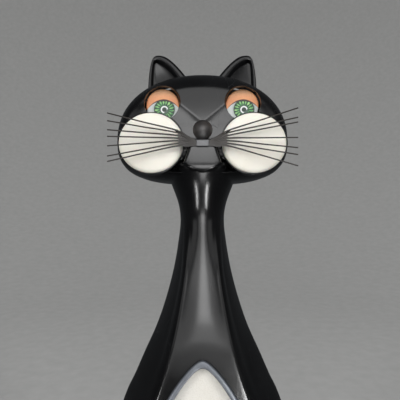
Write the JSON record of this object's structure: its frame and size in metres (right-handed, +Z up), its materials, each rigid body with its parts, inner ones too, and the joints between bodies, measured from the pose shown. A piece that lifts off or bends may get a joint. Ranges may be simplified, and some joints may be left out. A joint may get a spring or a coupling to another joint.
{
  "type": "cat tail clock",
  "caption": "Electric wall clock shaped as a long-necked sitting cat, with a lozenge dial in its body, a swinging pendulum tail and eyes that move with it.",
  "frame": {"origin": "where the top of the hanging slot in the back rests on its wall hook, in the plane of the wall", "axes": "+Z up, +Y into the wall, -Y the way the face looks, +X to the right of a person facing the clock"},
  "size_m": [0.1256, 0.0574, 0.4413],
  "materials": {
    "gloss_black": "gloss moulded, lightly scratched",
    "back_black": "satin moulded",
    "cream": "satin moulded",
    "nose_black": "semi-matt moulded",
    "whisker_brown": "satin",
    "clip_grey": "satin",
    "eye_print": "printed, satin",
    "bezel_metal": "blue-grey satin",
    "dial_white": "matt, finely grained",
    "hand_black": "semi-gloss",
    "steel": "brushed, zinc plated",
    "brass": "satin",
    "copper": "enamelled copper wire",
    "nylon": "natural nylon",
    "magnet": "sintered ferrite"
  },
  "bodies": {
    "case": {"front_shell": "gloss_black", "back_cover": "back_black", "hanger_plate": "steel", "lead_bush": "back_black", "cover_screw_1": "steel", "cover_screw_2": "steel", "cover_screw_3": "steel", "cover_screw_4": "steel", "cover_screw_5": "steel", "cover_screw_6": "steel", "chassis_screw_1": "steel", "chassis_screw_2": "steel", "chassis_screw_3": "steel", "chassis_screw_4": "steel", "left_cheek": "cream", "right_cheek": "cream", "nose": "nose_black", "whisker_clip": "clip_grey", "left_whiskers": "whisker_brown", "right_whiskers": "whisker_brown", "eye_pivot_pin": "brass", "tail_pivot_pin": "brass", "drive_coil": "copper", "coil_core": "steel", "terminal_block": "nylon", "chassis_plate": "steel", "movement_rear_plate": "brass", "movement_front_plate": "brass", "pillar_1": "brass", "pillar_2": "brass", "pillar_3": "brass", "pillar_4": "brass", "motor_can": "steel", "motor_coil": "copper", "dial_plate": "dial_white", "dial_bezel": "bezel_metal"},
    "pendulum": {"tail_lever": "steel", "tail": "gloss_black", "pendulum_magnet": "magnet"},
    "eyes": {"eye_rocker": "steel", "eye_carrier": "nylon", "left_eye": "eye_print", "right_eye": "eye_print"},
    "minute_train": {"centre_arbor": "steel", "minute_hand": "hand_black", "hand_nut": "brass", "clutch_spring": "brass"},
    "setting_train": {"motion_wheel": "nylon", "set_knob": "back_black"},
    "hour_train": {"hour_wheel": "nylon", "hour_hand": "hand_black"},
    "rotor": {"rotor": "magnet"},
    "output": {"output_pinion": "brass"},
    "drive": {"drive_wheel": "brass"}
  },
  "joints": [
    {"name": "tail_swing", "type": "hinge", "parent": "case", "child": "pendulum", "pos_m": [0, -0.022, -0.254], "axis": [0, 1, 0], "range_deg": [-9, 9]},
    {"name": "eye_swing", "type": "hinge", "parent": "case", "child": "eyes", "pos_m": [0, -0.0154, -0.14], "axis": [0, 1, 0], "range_deg": [-1.2, 1.2]},
    {"name": "minute_turn", "type": "hinge", "parent": "case", "child": "minute_train", "pos_m": [0, -0.03, -0.208], "axis": [0, 1, 0], "continuous": true},
    {"name": "setting_turn", "type": "hinge", "parent": "case", "child": "setting_train", "pos_m": [0.0099, -0.02, -0.1981], "axis": [0, 1, 0], "continuous": true},
    {"name": "hour_turn", "type": "hinge", "parent": "case", "child": "hour_train", "pos_m": [0, -0.036, -0.208], "axis": [0, 1, 0], "continuous": true},
    {"name": "rotor_turn", "type": "hinge", "parent": "case", "child": "rotor", "pos_m": [0, -0.026, -0.2224], "axis": [0, 1, 0], "continuous": true},
    {"name": "output_turn", "type": "hinge", "parent": "case", "child": "output", "pos_m": [0, -0.0207, -0.2224], "axis": [0, 1, 0], "continuous": true},
    {"name": "drive_turn", "type": "hinge", "parent": "case", "child": "drive", "pos_m": [0, -0.0201, -0.208], "axis": [0, 1, 0], "continuous": true}
  ],
  "couplings": [
    {"joint": "eye_swing", "follows": "tail_swing", "ratio": -0.11765},
    {"joint": "setting_turn", "follows": "minute_turn", "ratio": -0.33333},
    {"joint": "hour_turn", "follows": "minute_turn", "ratio": 0.083333},
    {"joint": "output_turn", "follows": "rotor_turn", "ratio": 0.00033333},
    {"joint": "drive_turn", "follows": "rotor_turn", "ratio": -0.000066667}
  ]
}
